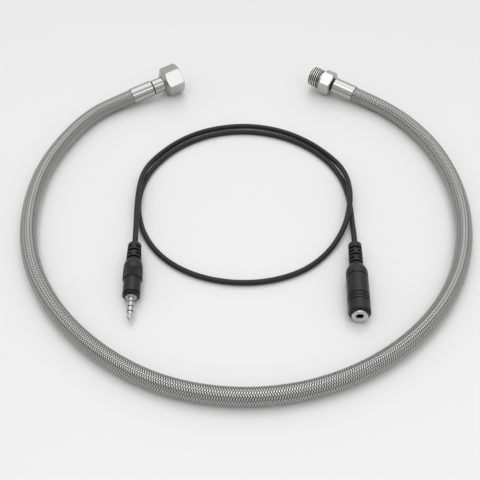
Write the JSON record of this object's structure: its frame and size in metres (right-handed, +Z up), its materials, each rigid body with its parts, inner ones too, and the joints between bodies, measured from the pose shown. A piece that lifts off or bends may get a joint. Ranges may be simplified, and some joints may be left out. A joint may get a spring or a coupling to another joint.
{
  "type": "extension hose and cable set",
  "caption": "Steel-braided flexible hose in an open ring, with a union nut and a male threaded end, and a looped black cable with a jack plug and an inline socket.",
  "frame": {"origin": "on the floor, in the middle of the box round the hose's end fittings, the plug and the socket", "axes": "+Z up; +X to the right and +Y away from the viewer, with the hose's open ends at +Y and the plug and socket at -Y"},
  "size_m": [0.257, 0.2615, 0.0196],
  "materials": {
    "steel_braid": "braided stainless wire",
    "polished_steel": "polished stainless steel",
    "turned_steel": "machined stainless steel with fine turning marks",
    "hose_rubber": "black rubber",
    "cable_vinyl": "smooth black flexible vinyl",
    "wire_insulation": "insulated wires, hidden",
    "nickel_plate": "nickel plated brass",
    "insulator": "moulded black plastic",
    "shell_plastic": "satin black moulded plastic",
    "boot_vinyl": "moulded black flexible vinyl",
    "spring_bronze": "rolled spring bronze"
  },
  "bodies": {
    "hose": {"hose_liner": "hose_rubber", "hose_braid": "steel_braid", "union_ferrule": "polished_steel", "union_nipple": "polished_steel", "union_gasket": "hose_rubber", "male_ferrule": "polished_steel", "male_nipple": "turned_steel"},
    "nut_guide": {"nut_guide_ring": "polished_steel"},
    "union_nut": {"union_nut": "turned_steel"},
    "cable": {"cable_jacket": "cable_vinyl", "cable_cores": "wire_insulation", "plug_tip": "nickel_plate", "plug_ring_1": "nickel_plate", "plug_ring_2": "nickel_plate", "plug_sleeve": "nickel_plate", "plug_insulator_1": "insulator", "plug_insulator_2": "insulator", "plug_insulator_3": "insulator", "plug_inner_mould": "insulator", "plug_shell": "shell_plastic", "plug_boot": "boot_vinyl", "plug_cord_clamp": "nickel_plate", "jack_bush": "nickel_plate", "jack_insert": "insulator", "jack_wire_mould": "insulator", "jack_shell": "shell_plastic", "jack_boot": "boot_vinyl", "jack_cord_clamp": "nickel_plate"},
    "tip_spring": {"jack_tip_spring": "spring_bronze"},
    "ring_1_spring": {"jack_ring_1_spring": "spring_bronze"},
    "ring_2_spring": {"jack_ring_2_spring": "spring_bronze"}
  },
  "joints": [
    {"name": "union_nut_slide", "type": "slide", "parent": "hose", "child": "nut_guide", "axis": [0.8725, 0.473, 0.1223], "range_m": [-0.0077, 0]},
    {"name": "union_nut_spin", "type": "hinge", "parent": "nut_guide", "child": "union_nut", "pos_m": [-0.05419, 0.09164, 0.00898], "axis": [0.8725, 0.473, 0.1223], "continuous": true},
    {"name": "cable_lift", "type": "slide", "parent": "hose", "child": "cable", "axis": [0, 0, 1], "range_m": [0, 0.05]},
    {"name": "tip_contact", "type": "hinge", "parent": "cable", "child": "tip_spring", "pos_m": [0.05915, -0.08417, 0.0083], "axis": [-0.9989, 0.0469, 0], "range_deg": [0, 3], "stiffness_Nm_per_rad": 0.05},
    {"name": "ring_1_contact", "type": "hinge", "parent": "cable", "child": "ring_1_spring", "pos_m": [0.05703, -0.08407, 0.00462], "axis": [0.4994, -0.0235, -0.866], "range_deg": [0, 2.2], "stiffness_Nm_per_rad": 0.05},
    {"name": "ring_2_contact", "type": "hinge", "parent": "cable", "child": "ring_2_spring", "pos_m": [0.06127, -0.08427, 0.00462], "axis": [0.4994, -0.0235, 0.866], "range_deg": [0, 1.8], "stiffness_Nm_per_rad": 0.05}
  ]
}
